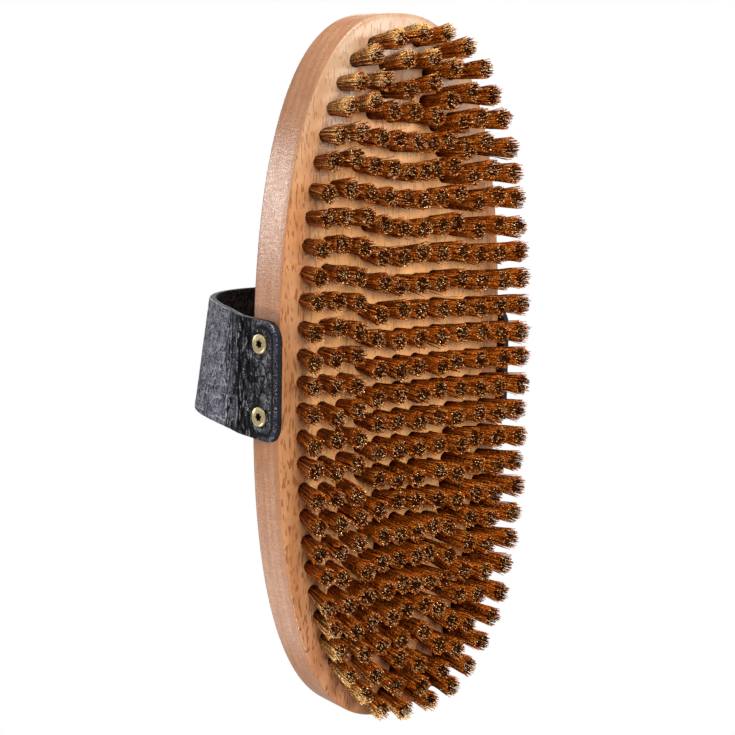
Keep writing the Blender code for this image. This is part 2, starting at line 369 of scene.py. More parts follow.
beechLook = dict(pale=(0.58, 0.300, 0.135), warm=(0.44, 0.185, 0.066), rose=(0.47, 0.225, 0.115),
                 paintedLightCore=(1.00, 0.50, 0.190), creamAndSheen=(0.468, 0.322, 0.203), creamAndSheenFrom=(0.034, 0.086), wallToneAndSheen=(1.27, 1.26, 1.37), dusk=(1.13, 1.04, 1.08), duskFrom=(-0.080, -0.035), fleck=(0.28, 0.085, 0.022), line=(0.42, 0.150, 0.045),
                 ringPitch=0.0031, pith=(0.035, 0.0, 0.115), fleckSize=(0.00046, 0.0027, 0.00050),
                 poreSize=(0.00017, 0.0055, 0.00017), mottleSize=(0.0038, 0.034, 0.0038),
                 wall=(0.0127, 0.0252), sawSize=(0.02, 0.00042, 0.0026), hatchSize=(0.0005, 0.0007, 0.0005),
                 streak=(0.34, 0.115, 0.040), streakSize=(0.00046, 0.0036, 0.00046), endGrainAndLight=(0.070, 0.086), paintedEndLight=(1.16, 1.16, 1.18),
                 paintedLightCoreReach=(0.40, 0.72))


def beechFinish():
    look = beechLook
    finish, pen, shader = newFinish("oiledBeech", Specular_IOR_Level=0.5)
    place = pen.node("ShaderNodeTexCoord", output="Object")
    mottle = pen.noise(place, look["mottleSize"], 3.0, 0.55)
    sway = pen.noise(place, (0.02, 0.09, 0.02), 2.0)
    parts = pen.node("ShaderNodeSeparateXYZ", {}, {0: place})
    across, up = parts.out("X") - look["pith"][0], parts.out("Z") - look["pith"][2]
    radius = (across * across + up * up) ** 0.5 + sway * 0.006
    growth = (radius * (2 * math.pi / look["ringPitch"])).sine() * 0.5 + 0.5
    late = growth ** 3.0
    pores = pen.noise(place, look["poreSize"], 2.0, 0.6)
    rays = pen.noise(place, look["fleckSize"], 1.0, 0.4)
    height = parts.out("Z")
    low, high = look["wall"]
    wall = height.rise(low, low + 0.0006) * (1 - height.rise(high, high + 0.0008))
    hatch = pen.noise(place, look["sawSize"], 2.0, 0.6) * 0.5 + pen.noise(place, look["hatchSize"], 2.0, 0.6) * 0.5
    fleck = rays.rise(0.575, 0.635) * (1 - 0.8 * wall)
    # the wood between the tufts is painted paler than at the border: painted light where the tufts shade it
    side, end = parts.out("X") / brush["halfWidth"], parts.out("Y") / brush["halfLength"]
    reach = pen.math("ABSOLUTE", side) ** brush["ovalPower"] + pen.math("ABSOLUTE", end) ** brush["ovalPower"]
    paintedLightCore = (1 - reach.rise(*look["paintedLightCoreReach"])) * (1 - height.rise(low, high))
    colour = pen.tint(mottle.rise(0.32, 0.68), look["warm"] + (1,), look["pale"] + (1,))
    colour = pen.tint(sway.rise(0.45, 0.75) * 0.4, colour, look["rose"] + (1,))
    colour = pen.tint(paintedLightCore * 0.9, colour, look["paintedLightCore"] + (1,))
    # the wood is paler towards one end: partly paler wood, partly painted sheen
    creamAndSheen = parts.out("Y").rise(*look["creamAndSheenFrom"]) * (1 - 0.6 * wall) * (1 - 0.9 * paintedLightCore)
    colour = pen.tint(creamAndSheen, colour, look["creamAndSheen"] + (1,))
    dusk = (1 - parts.out("Y").rise(*look["duskFrom"])) * (1 - wall)
    colour = pen.tint(dusk, colour, look["dusk"] + (1,), "MULTIPLY")
    colour = pen.tint(late * (0.30 + 0.25 * wall) * (1 - 0.5 * paintedLightCore), colour, look["line"] + (1,))
    colour = pen.tint(pores.rise(0.40, 0.75) * (0.42 + 0.35 * wall) * (1 - 0.8 * paintedLightCore), colour, look["line"] + (1,))
    colour = pen.tint(fleck * 0.85 * (1 - 0.5 * paintedLightCore) * (1 - 0.5 * creamAndSheen), colour, look["fleck"] + (1,))
    colour = pen.tint(hatch.rise(0.44, 0.64) * wall * 0.55, colour, look["line"] + (1,))
    streak = pen.noise(place, look["streakSize"], 2.0, 0.6).rise(0.52, 0.64)
    colour = pen.tint(streak * wall * 0.50, colour, look["streak"] + (1,))
    # the wall is painted paler and bluer than the face: partly its own tone, partly painted sheen
    colour = pen.tint(wall, colour, look["wallToneAndSheen"] + (1,), "MULTIPLY")
    # the wall is duller and calmer round that end, and painted paler there as painted light
    endGrainAndLight = parts.out("Y").rise(*look["endGrainAndLight"]) * wall
    colour = pen.tint(endGrainAndLight, colour, look["paintedEndLight"] + (1,), "MULTIPLY")
    rough = 0.20 + 0.14 * pores + 0.06 * fleck + (hatch - 0.5) * wall * 0.6 + 0.25 * endGrainAndLight
    relief = pores * 0.6 - fleck * 0.5 + hatch * wall * 2.0 * (1 - 0.8 * endGrainAndLight)
    feed(shader, Base_Color=colour, Roughness=rough, Normal=pen.bump(relief, 0.18, 0.0002))
    return finish


beech = beechFinish()
blockPiece = addPiece("beechBlock", meshOf("beechBlock", blockShape(), 38), [beech])
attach(blockPiece, "block")
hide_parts("brush_block")
print("block made:", len(blockPiece.data.polygons), "faces")


# bronze wire tufts: each tuft is a bundle of crimped wires that flares from its hole to the trimmed tips
wire = dict(perTuft=220, radius=0.000088, thick=1.25, rootRadius=0.00155, tipRadius=0.00242, sunk=0.0010, segments=3,
            crimpHeight=0.00012, crimpWaves=1.1, tipScatter=0.00034, tuftScatter=0.00042, uneven=0.00028,
            columns=56, inner=24, bright=12, gilt=8, brightShare=0.22, rim=0.80, paintedGlintFrom=(0.046, 0.072), farFrom=(0.014, 0.026), farLean=0.0010, farSwell=0.10, seed=7)


# one straight wire of unit length and radius, with a slanted cut and its own strip of the map
def wireShape(finish):
    shape = bmesh.new()
    along = shape.verts.layers.float.new("along")
    sheet = shape.loops.layers.uv.new("OFBake")
    rows = []
    for step in range(wire["segments"] + 1):
        share = step / wire["segments"]
        row = []
        for side in range(3):
            slant = 0.008 * side if step == wire["segments"] else 0.0
            turn = 2 * math.pi * side / 3
            vert = shape.verts.new((math.cos(turn), math.sin(turn), share - slant))
            vert[along] = share
            row.append(vert)
        rows.append(row)
    for step in range(wire["segments"]):
        for side in range(3):
            after = (side + 1) % 3
            face = shape.faces.new((rows[step][side], rows[step][after], rows[step + 1][after], rows[step + 1][side]))
            face.smooth = True
            low, high = step / wire["segments"] * 0.96, (step + 1) / wire["segments"] * 0.96
            left, right = 0.1 + 0.8 * side / 3, 0.1 + 0.8 * (side + 1) / 3
            for loop, uv in zip(face.loops, ((left, low), (right, low), (right, high), (left, high))):
                loop[sheet].uv = uv
    for row, band in ((rows[0][::-1], 0.0), (rows[-1], 0.97)):
        face = shape.faces.new(row)
        for loop, uv in zip(face.loops, ((0.1, band), (0.9, band), (0.5, band + 0.03))):
            loop[sheet].uv = uv
    mesh = bpy.data.meshes.new("wire")
    shape.to_mesh(mesh)
    shape.free()
    mesh.materials.append(finish)
    return bpy.data.objects.new("wire", mesh)


def addSockets(tree, inputs):
    tree.interface.new_socket("Geometry", in_out="INPUT", socket_type="NodeSocketGeometry")
    for name, kind in inputs:
        tree.interface.new_socket(name, in_out="INPUT", socket_type=kind)
    tree.interface.new_socket("Geometry", in_out="OUTPUT", socket_type="NodeSocketGeometry")


def randomValue(pen, low, high, seed):
    return pen.node("FunctionNodeRandomValue", {"data_type": "FLOAT"}, {2: low, 3: high, 8: seed}, 1)


def readField(pen, name, kind="FLOAT"):
    return pen.node("GeometryNodeInputNamedAttribute", {"data_type": kind}, {"Name": name})


def keepField(pen, geometry, name, value, kind="FLOAT", domain="INSTANCE"):
    settings = {"data_type": kind, "domain": domain}
    return pen.node("GeometryNodeStoreNamedAttribute", settings, {"Geometry": geometry, "Name": name, "Value": value})


def tuftTree():
    tree = bpy.data.node_groups.new("wireTufts", "GeometryNodeTree")
    addSockets(tree, [("Wire", "NodeSocketObject"), ("Finish", "NodeSocketMaterial"), ("Wires per tuft", "NodeSocketInt"),
                      ("Wire radius", "NodeSocketFloat"), ("Root radius", "NodeSocketFloat"),
                      ("Tip radius", "NodeSocketFloat"), ("Tip scatter", "NodeSocketFloat"),
                      ("Uneven", "NodeSocketFloat"), ("Crimp height", "NodeSocketFloat"),
                      ("Crimp waves", "NodeSocketFloat"), ("Columns", "NodeSocketInt"), ("Inner columns", "NodeSocketInt"),
                      ("Bright columns", "NodeSocketInt"), ("Painted glint columns", "NodeSocketInt"),
                      ("Bright share", "NodeSocketFloat"),
                      ("Thick", "NodeSocketFloat"), ("Rim", "NodeSocketFloat"), ("Seed", "NodeSocketInt")])
    pen = Pin(tree).node("NodeGroupInput")
    seed = pen.out("Seed")
    points = pen.node("GeometryNodeMeshToPoints", {}, {"Mesh": pen.out("Geometry")})
    copies = pen.node("GeometryNodeDuplicateElements", {"domain": "POINT"},
                      {"Geometry": points, "Amount": pen.out("Wires per tuft")})
    number = copies.out("Duplicate Index")
    # a sunflower disc for the roots, the same disc grown and shaken for the tips
    reach = ((number + 0.5) / pen.out("Wires per tuft")) ** 0.5
    turn = number * 2.399963 + randomValue(pen, 0.0, 0.9, seed)
    unit = pen.join(turn.cosine(), turn.sine(), 0.0)
    disc = pen.vector("SCALE", unit, reach)
    root = pen.vector("SCALE", disc, pen.out("Root radius"))
    swing = randomValue(pen, 0.0, 2 * math.pi, seed + 1)
    stray = pen.out("Tip scatter") * (randomValue(pen, 0.0, 1.0, seed + 2) ** 3.0 * 2.2 + 0.25)
    shake = pen.vector("SCALE", pen.join(swing.cosine(), swing.sine(), 0.0), stray)
    tip = pen.vector("ADD", pen.vector("SCALE", disc, pen.out("Tip radius") * readField(pen, "swell")), shake)
    lift = pen.join(0.0, 0.0, pen.out("Uneven") * randomValue(pen, 0.0, 1.0, seed + 3) ** 2.0)
    span = pen.vector("ADD", pen.vector("SUBTRACT", pen.vector("ADD", tip, lift), root),
                      readField(pen, "tuftSpan", "FLOAT_VECTOR"))
    placed = pen.node("GeometryNodeSetPosition", {}, {"Geometry": copies, "Offset": root})
    length = pen.node("ShaderNodeVectorMath", {"operation": "LENGTH"}, {0: span}, "Value")
    roll = pen.node("FunctionNodeEulerToRotation", {},
                    {0: pen.join(0.0, 0.0, randomValue(pen, 0.0, 2 * math.pi, seed + 4))})
    aim = pen.node("FunctionNodeAlignRotationToVector", {"axis": "Z"}, {"Rotation": roll, "Vector": span})
    shape = pen.node("GeometryNodeObjectInfo", {"transform_space": "ORIGINAL"}, {"Object": pen.out("Wire")}, "Geometry")
    bright = pen.math("LESS_THAN", randomValue(pen, 0.0, 1.0, seed + 8), pen.out("Bright share"))
    thick = pen.out("Wire radius") * (1 + (pen.out("Thick") - 1) * bright)
    wires = pen.node("GeometryNodeInstanceOnPoints", {}, {
        "Points": placed, "Instance": shape, "Rotation": aim, "Scale": pen.join(thick, thick, length)})
    wires = keepField(pen, wires, "phase", randomValue(pen, 0.0, 1.0, seed + 5))
    wires = keepField(pen, wires, "swing", randomValue(pen, 0.0, 2 * math.pi, seed + 6))
    # columns of the map: inner wires first, then the thick bright ones, those at a tuft's rim and the ones painted with
    # golden glints
    def choose(which, no, yes):
        return pen.node("GeometryNodeSwitch", {"input_type": "FLOAT"}, {0: which, 1: no, 2: yes})

    inner, shining, gilt = pen.out("Inner columns"), pen.out("Bright columns"), pen.out("Painted glint columns")
    atRim = pen.math("GREATER_THAN", reach, pen.out("Rim"))
    outward = readField(pen, "gilt", "FLOAT_VECTOR")
    facing = pen.node("ShaderNodeVectorMath", {"operation": "DOT_PRODUCT"}, {0: disc, 1: outward}, "Value")
    amount = pen.node("ShaderNodeVectorMath", {"operation": "LENGTH"}, {0: outward}, "Value")
    # wires on the outward side of those tufts get painted glints
    glintPainted = pen.math("LESS_THAN", randomValue(pen, 0.0, 1.0, seed + 9), facing * 1.15 + amount * 0.16)
    first = choose(bright, choose(atRim, 0.0, inner + shining), inner)
    across = choose(bright, choose(atRim, inner, pen.out("Columns") - inner - shining - gilt), shining)
    first = choose(glintPainted, first, pen.out("Columns") - gilt)
    across = choose(glintPainted, across, gilt)
    column = pen.math("FLOOR", randomValue(pen, 0.0, 0.999, seed + 7) * across) + first
    wires = keepField(pen, wires, "column", column)
    made = pen.node("GeometryNodeRealizeInstances", {}, {"Geometry": wires})
    along, side = readField(pen, "along"), readField(pen, "swing")
    wave = ((along * pen.out("Crimp waves") + readField(pen, "phase")) * (2 * math.pi)).sine()
    push = pen.vector("SCALE", pen.join(side.cosine(), side.sine(), 0.0),
                      wave * pen.out("Crimp height") * along.rise(0.0, 0.3))
    made = pen.node("GeometryNodeSetPosition", {}, {"Geometry": made, "Offset": push})
    strip = pen.node("ShaderNodeSeparateXYZ", {}, {0: readField(pen, "OFBake", "FLOAT_VECTOR")})
    across = (readField(pen, "column") + strip.out("X")) / pen.out("Columns")
    made = keepField(pen, made, "OFBake", pen.join(across, strip.out("Y"), 0.0), "FLOAT2", "CORNER")
    for name in ("phase", "swing", "column", "along", "tuftSpan", "gilt", "swell"):
        made = pen.node("GeometryNodeRemoveAttribute", {}, {"Geometry": made, "Name": name})
    made = pen.node("GeometryNodeSetMaterial", {}, {"Geometry": made, "Material": pen.out("Finish")})
    pen.node("NodeGroupOutput", {}, {"Geometry": made})
    return tree


# runs a tree on a mesh of points and keeps the result as a plain mesh
def growMesh(name, points, tree, values):
    seedling = bpy.data.objects.new(name, points)
    bpy.context.scene.collection.objects.link(seedling)
    grower = seedling.modifiers.new("grow", "NODES")
    grower.node_group = tree
    keys = {item.name: item.identifier for item in tree.interface.items_tree if item.in_out == "INPUT"}
    for label, value in values.items():
        grower[keys[label]] = value
    graph = bpy.context.evaluated_depsgraph_get()
    mesh = bpy.data.meshes.new_from_object(seedling.evaluated_get(graph), depsgraph=graph)
    mesh.name = name
    bpy.data.objects.remove(seedling)
    return mesh


bronzeLook = dict(deep=(0.075, 0.006, 0.0003), bronze=(0.66, 0.135, 0.0075), paintedGlintGold=(1.00, 0.53, 0.110),
                  gilt=(1.00, 0.45, 0.065), glint=(1.00, 0.82, 0.40), paintedTipShade=(0.007, 0.0015, 0.0006), paintedTipGlint=(1.00, 0.76, 0.44),
                  rough=(0.30, 0.50), glintSpecks=20.0, sparks=23.0, cut=0.965)


def bronzeFinish():
    look = bronzeLook
    finish, pen, shader = newFinish("bronzeWire", Metallic=0.35, Specular_IOR_Level=0.02)
    sheet = pen.node("ShaderNodeUVMap", {"uv_map": "OFBake"})
    parts = pen.node("ShaderNodeSeparateXYZ", {}, {0: sheet})
    column = pen.math("FLOOR", parts.out("X") * wire["columns"])
    hue = pen.node("ShaderNodeTexWhiteNoise", {"noise_dimensions": "1D"}, {"W": column}, "Value")
    shine = pen.node("ShaderNodeTexWhiteNoise", {"noise_dimensions": "1D"}, {"W": column + 71.0}, "Value")
    along = parts.out("Y")
    glintSpeck = pen.noise(pen.join(column * 3.1, along * look["glintSpecks"], 0.0), (1.0, 1.0, 1.0), 1.0)

    # 1 on the columns from this number on
    def columnsFrom(number):
        return column.rise(number - 0.6, number - 0.4)

    gilt = columnsFrom(wire["columns"] - wire["gilt"])
    rim = columnsFrom(wire["inner"] + wire["bright"]) * (1 - gilt)
    bright = columnsFrom(wire["inner"]) * (1 - rim) * (1 - gilt)
    colour = pen.tint(hue.rise(0.0, 0.7), look["deep"] + (1,), look["bronze"] + (1,))
    # painted crimp glints: gold specks along each wire, with painted shade between them
    colour = pen.tint((1 - glintSpeck.rise(0.35, 0.50)) * 0.5, colour, look["deep"] + (1,))
    colour = pen.tint(glintSpeck.rise(0.56, 0.68) * along.rise(0.1, 0.6) * 0.75, colour, look["paintedGlintGold"] + (1,))
    # painted glints: golden sparks on the glint columns, with painted shade between them
    spark = pen.noise(pen.join(column * 5.7, along * look["sparks"], 0.0), (1.0, 1.0, 1.0), 1.0)
    colour = pen.tint(gilt * (1 - spark.rise(0.38, 0.46)) * 0.85, colour, look["deep"] + (1,))
    colour = pen.tint(gilt * spark.rise(0.44, 0.51), colour, look["gilt"] + (1,))
    colour = pen.tint(gilt * spark.rise(0.535, 0.575), colour, look["glint"] + (1,))
    # painted shade towards the roots
    colour = pen.tint((1 - along.rise(0.0, 0.40)) * 0.7, colour, look["deep"] + (1,))
    # painted shade in the tip discs: inner wires darken towards their cut ends
    dark = along.rise(0.78, 0.94) * (1 - rim) * (1 - gilt) * (1 - bright * 0.6)
    colour = pen.tint(dark * 0.95, colour, look["paintedTipShade"] + (1,))
    # cut ends: painted shade on most wires, a painted glint on the bright and glint columns
    cut = pen.tint(bright + gilt, look["paintedTipShade"] + (1,), look["paintedTipGlint"] + (1,))
    colour = pen.tint(along.rise(look["cut"] - 0.003, look["cut"] + 0.003) * (1 - rim), colour, cut)
    rough = look["rough"][0] + (look["rough"][1] - look["rough"][0]) * shine
    feed(shader, Base_Color=colour, Roughness=rough)
    return finish


# outer tufts near both ends of the brush get painted glints on their outward side
def paintedGlintShare(x, y):
    halfWidth, halfLength = ringHalves(1)
    reach = (abs(x / halfWidth) ** 2.5 + abs(y / halfLength) ** 2.5) ** 0.4
    return smooth(abs(y), *wire["paintedGlintFrom"]) * smooth(reach, 0.91 if y > 0 else 0.98, 1.06) * smooth(x, -0.020, 0.004)


def tuftPoints(name, tufts, seed):
    picker = np.random.default_rng(seed)
    mesh = bpy.data.meshes.new(name)
    roots, spans, paintedGlints, swells = [], [], [], []
    for x, y in tufts:
        height = faceHeight(x, y) + wire["sunk"]
        tipX, tipY = atTips(x, y)
        tipX += picker.normal(0.0, wire["tuftScatter"])
        tipY += picker.normal(0.0, wire["tuftScatter"])
        far = smooth(-x, *wire["farFrom"])
        tipX -= wire["farLean"] * far
        swells.append(1 + wire["farSwell"] * far)
        roots.append((x, y, height))
        outward = Vector((x / brush["halfWidth"] ** 2, y / brush["halfLength"] ** 2, 0.0)).normalized()
        paintedGlints.append(outward * paintedGlintShare(x, y))
        spans.append((tipX - x, tipY - y, brush["tipZ"] - height))
    mesh.from_pydata(roots, [], [])
    for label, vectors in (("tuftSpan", spans), ("gilt", paintedGlints)):
        field = mesh.attributes.new(label, "FLOAT_VECTOR", "POINT")
        field.data.foreach_set("vector", np.array(vectors, np.float32).ravel())
    mesh.attributes.new("swell", "FLOAT", "POINT").data.foreach_set("value", swells)
    return mesh


bronze = bronzeFinish()
wirePattern = wireShape(bronze)
tufts = tuftTree()
# rings that each CAD band holds, and the number of pieces that its tufts are shared between
bands = [("bristle_band_1", (0, 1), 3), ("bristle_band_2", (2, 3), 2), ("bristle_band_3", (4, 5), 2)]
seed = wire["seed"]
for band, (node, rows, parts) in enumerate(bands, 1):
    bandTufts = [tuft for row in rows for tuft in tuftRows[row]]
    for part in range(parts):
        share = bandTufts[len(bandTufts) * part // parts:len(bandTufts) * (part + 1) // parts]
        name = f"wires{band}{'abc'[part]}"
        seed += 20
        grown = growMesh(name, tuftPoints(name, share, seed), tufts, {
            "Wire": wirePattern, "Finish": bronze, "Wires per tuft": wire["perTuft"], "Wire radius": wire["radius"],
            "Root radius": wire["rootRadius"], "Tip radius": wire["tipRadius"], "Tip scatter": wire["tipScatter"],
            "Uneven": wire["uneven"], "Crimp height": wire["crimpHeight"], "Crimp waves": wire["crimpWaves"],
            "Columns": wire["columns"], "Inner columns": wire["inner"], "Bright columns": wire["bright"],
            "Painted glint columns": wire["gilt"], "Bright share": wire["brightShare"], "Thick": wire["thick"], "Rim": wire["rim"], "Seed": seed})
        piece = addPiece(name, grown, [])
        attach(piece, "block")
        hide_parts(node)
        print(name, "made:", len(share), "tufts,", len(grown.polygons), "faces", [m and m.name for m in grown.materials])
bpy.data.objects.remove(wirePattern)


# leather strap: one bowed strip with rounded ends, a pebbled grain side, a flesh side and cut edges
strap = dict(width=0.030, thickness=0.0019, corner=0.005, edgeRound=0.00035, clear=0.0003, overhang=0.002,
             legRise=0.003, sway=0.0007, bendFrom=-0.004, bendTo=0.016, bendPitch=0.00030, plainPitch=0.00050,
             columns=80, edgeSteps=3,
             foldAt=0.0028, foldReach=0.0105, foldDepth=0.00055, foldSize=(0.0016, 0.0068), foldEdge=0.30, foldDrift=0.0012,
             foldBreak=(0.0035, 0.0070), mainAt=0.0024, mainWidth=0.0006, mainDepth=0.00065, mainDrift=0.0026,
             cellSize=(0.0030, 0.0036), cellDepth=0.00027, cellFade=(-0.002, 0.003), bowFade=(0.006, 0.014),
             crownFade=(0.030, 0.046), crownDark=0.88,
             ripple=0.00010, rippleSize=(0.0016, 0.0060), wave=0.00018,
             beadAt=0.0017, beadWidth=0.00045, beadDepth=0.00016,
             beadFade=(0.0070, 0.0110))
# the bow at the strap's two edges, because the leather stands higher at its -Y edge
bows = [dict(lean=0.0042, shoulderPull=0.0224, crownPull=0.0352, bowHeight=0.0506),
        dict(lean=0.0069, shoulderPull=0.0199, crownPull=0.0286, bowHeight=0.0494)]
strapX = brush["halfWidth"] + strap["clear"] + strap["thickness"] / 2
strapEndZ = brush["faceZ"] + block["edgeFall"] - strap["overhang"]


# middle line of one edge of the strap from its right end over the crown to its left end
def bowLine(bow, fine=400):
    start = np.array([strapX, brush["backZ"] + strap["legRise"]])
    crown = np.array([0.0, brush["backZ"] + bow["bowHeight"]])
    shoulder = start + np.array([-bow["lean"], bow["shoulderPull"]])
    pull = crown + np.array([bow["crownPull"], 0.0])
    t = np.linspace(0, 1, fine)[:, None]
    curve = (1 - t) ** 3 * start + 3 * (1 - t) ** 2 * t * shoulder + 3 * (1 - t) * t ** 2 * pull + t ** 3 * crown
    half = np.vstack([[[strapX, strapEndZ]], curve])
    return np.vstack([half, (half * (-1, 1))[-2::-1]])


# both edges' lines, and the way travelled along their mean
def strapLines():
    lines = [bowLine(bow) for bow in bows]
    mean = (lines[0] + lines[1]) / 2
    travelled = np.concatenate([[0.0], np.cumsum(np.linalg.norm(np.diff(mean, axis=0), axis=1))])
    return lines, travelled


def linePlace(lines, travelled, at, share):
    at = min(max(at, 0.0), travelled[-1])
    ends = [np.array([np.interp(at, travelled, line[:, axis]) for axis in (0, 1)]) for line in lines]
    return ends[0] * (1 - share) + ends[1] * share


def strapFrame(lines, travelled, at, share):
    step = 0.0004
    way = linePlace(lines, travelled, at + step, share) - linePlace(lines, travelled, at - step, share)
    way /= np.linalg.norm(way)
    return linePlace(lines, travelled, at, share), np.array([way[1], -way[0]])


# stations along the strap, close together at its ends and where it bends away from the wall
def strapStations(lines, travelled):
    total = travelled[-1]
    bend = brush["backZ"] - strapEndZ
    stations, at = [0.0, 0.00008, 0.0002, 0.0004, 0.0007], 0.0011
    while at < total / 2:
        stations.append(at)
        bent = bend + strap["bendFrom"] < at < bend + strap["bendTo"]
        at += strap["bendPitch"] if bent else strap["plainPitch"]
    return np.array(stations + [total - at for at in stations[::-1]])


# steps from 0 to length, close together at both ends
def edgedSteps(length, count):
    fine = [0.0, 0.00008, 0.0002, 0.0004, 0.0007]
    inner = np.linspace(0.0011, length - 0.0011, count)
    return np.concatenate([fine, inner, length - np.array(fine[::-1])])


def cornerHalf(fromEnd):
    half, radius = strap["width"] / 2, strap["corner"]
    short = max(0.0, radius - fromEnd)
    return half - radius + math.sqrt(max(0.0, radius ** 2 - short ** 2))


def toOutline(fromEnd, across):
    half, radius = strap["width"] / 2, strap["corner"]
    inX, inY = radius - fromEnd, abs(across) - (half - radius)
    if inX > 0 and inY > 0:
        return radius - math.hypot(inX, inY)
    return min(fromEnd, half - abs(across))


screw = dict(fromEdge=0.0059, belowBack=0.0075, tilt=12.0, proud=0.0003, length=0.013, point=0.003, radius=0.00125,
             head=0.0025, rim=0.0003, cone=0.0012, recess=0.00108, lobe=0.00034, recessDepth=0.0008, lobes=6, sides=48)
screwY = strap["width"] / 2 - screw["fromEdge"]
screwZ = brush["backZ"] - screw["belowBack"]


# how far the grain side stands off its plain surface at a place on the strap, and how deep in a valley that is
def grainRelief(at, across, fromEnd, height, side):
    def spot(size, layer, drift=0.0):
        return Vector(((at + drift) / size[0], across / size[1], side * 4.0 + layer))

    above = height - brush["backZ"]
    ends = 1 - smooth(above, *strap["cellFade"])
    cells = noise.voronoi(spot(strap["cellSize"], 9.0, 0.0008 * noise.noise(spot((0.002, 0.002), 2.0))))[0]
    pebble = smooth(cells[1] - cells[0], 0.0, 0.17)
    border = smooth(toOutline(fromEnd, across), strap["beadAt"], 2 * strap["beadAt"])
    pebble = 1 - (1 - pebble) * border
    # folds across the strap where it bends away from the wall: one deep, the others come and go
    near = math.exp(-((above - strap["foldAt"]) / strap["foldReach"]) ** 2)
    drift = strap["foldDrift"] * noise.noise(spot((0.004, 0.0040), 30.0))
    longCells = noise.voronoi(spot(strap["foldSize"], 30.0, drift))[0]
    folds = (1 - smooth(longCells[1] - longCells[0], 0.0, strap["foldEdge"])) * smooth(noise.noise(spot(strap["foldBreak"], 40.0)), -0.60, -0.15)
    middle = strap["mainAt"] + strap["mainDrift"] * noise.noise(spot((1.0, 0.008), 60.0))
    main = math.exp(-((above - middle) / strap["mainWidth"]) ** 2)
    relief = strap["wave"] * noise.noise(spot((0.011, 0.013), 0.0))
    relief += strap["ripple"] * noise.noise(spot(strap["rippleSize"], 50.0)) * (1 - ends)
    relief += strap["cellDepth"] * (pebble - 0.7) * ends
    relief += strap["foldDepth"] * near * (0.3 - folds) - strap["mainDepth"] * main
    rimmed = (toOutline(fromEnd, across) - strap["beadAt"]) / strap["beadWidth"]
    bead = math.exp(-rimmed * rimmed) * (1 - smooth(fromEnd, *strap["beadFade"]))
    relief -= strap["beadDepth"] * bead
    # how deep in a fold, cell groove or bead groove a place lies; the finish paints these dark as painted shade
    valley = max(min(1.0, 1.5 * near) * folds, main, 0.8 * ends * (1 - pebble), bead)
    # leather pressed down round each screw head, level with its tilted face
    for end in (-1, 1):
        away = math.hypot(height - screwZ, across - end * screwY)
        if away < 0.0052 and fromEnd < 0.03:
            seat = (screw["proud"] - 0.00022
                    + (height - screwZ) * math.tan(math.radians(screw["tilt"])))
            grip = 1 - smooth(away, 0.0026, 0.0048)
            relief = relief * (1 - grip) + seat * grip
            relief -= max(0.0, min(0.0013, 0.00275 - away))
    # the leather is painted paler only on the leg that the studio light grazes: painted sheen
    grazed = 1 - strap["crownDark"] * (smooth(above, *strap["crownFade"]) if side > 0 else 1.0)
    return relief, valley, smooth(above, *strap["bowFade"]) * grazed - bead


def strapShape():
    lines, travelled = strapLines()
    total = travelled[-1]
    spread = edgedSteps(strap["width"], strap["columns"]) / strap["width"] * 2 - 1
    shape = bmesh.new()
    sheet = shape.loops.layers.uv.new("leather")
    depth = shape.verts.layers.float.new("valley")
    bowed = shape.verts.layers.float.new("bowed")
    half, soft = strap["thickness"] / 2, strap["edgeRound"]
    sides = {1: [], -1: []}
    where = {}
    for at in strapStations(lines, travelled):
        fromEnd = min(at, total - at)
        side = 1 if at < total / 2 else -1
        widest = cornerHalf(fromEnd)
        ends = [strapFrame(lines, travelled, at, share) for share in (0.0, 1.0)]
        rows = {1: [], -1: []}
        for spot in spread:
            across = spot * widest
            share = across / strap["width"] + 0.5
            place, out = [first * (1 - share) + second * share for first, second in zip(*ends)]
            shift = strap["sway"] * max(0.0, place[1] - brush["backZ"]) / bows[0]["bowHeight"]
            inside = min(soft, max(0.0, toOutline(fromEnd, across)))
            rounded = soft - math.sqrt(max(0.0, soft ** 2 - (soft - inside) ** 2))
            calm = smooth(toOutline(fromEnd, across), 0.0, 0.0012)
            for face in (1, -1):
                if face == 1:
                    relief, valley, bow = grainRelief(at, across, fromEnd, place[1], side)
                else:
                    relief, valley, bow = 0.00006 * noise.noise(Vector((at / 0.0015, across / 0.0015, 7.0))), 0.0, 0.0
                point = place + out * (face * (half - rounded) + relief * calm)
                vert = shape.verts.new((point[0], across + shift, point[1]))
                vert[depth] = valley
                vert[bowed] = bow
                where[vert] = (across, at)
                rows[face].append(vert)
        for face in (1, -1):
            sides[face].append(rows[face])
    for face, slot in ((1, 0), (-1, 1)):
        for row, after in zip(sides[face], sides[face][1:]):
            for step in range(len(row) - 1):
                corners = (row[step], row[step + 1], after[step + 1], after[step])
                shape.faces.new(corners).material_index = slot
    rims = {}
    for face in (1, -1):
        grid = sides[face]
        rims[face] = (grid[0] + [row[-1] for row in grid[1:-1]] + grid[-1][::-1]
                      + [row[0] for row in grid[-2:0:-1]])
    last = rims[1]
    for step in range(1, strap["edgeSteps"] + 1):
        share = step / strap["edgeSteps"]
        ring = rims[-1]
        if step < strap["edgeSteps"]:
            ring = [shape.verts.new(a.co.lerp(b.co, share)) for a, b in zip(rims[1], rims[-1])]
            where.update({v: (where[a][0], where[a][1] + share * strap["thickness"]) for v, a in zip(ring, rims[1])})
        for number in range(len(ring)):
            after = (number + 1) % len(ring)
            shape.faces.new((last[number], last[after], ring[after], ring[number])).material_index = 2
        last = ring
    for face in shape.faces:
        for loop in face.loops:
            loop[sheet].uv = where[loop.vert]
    return shape


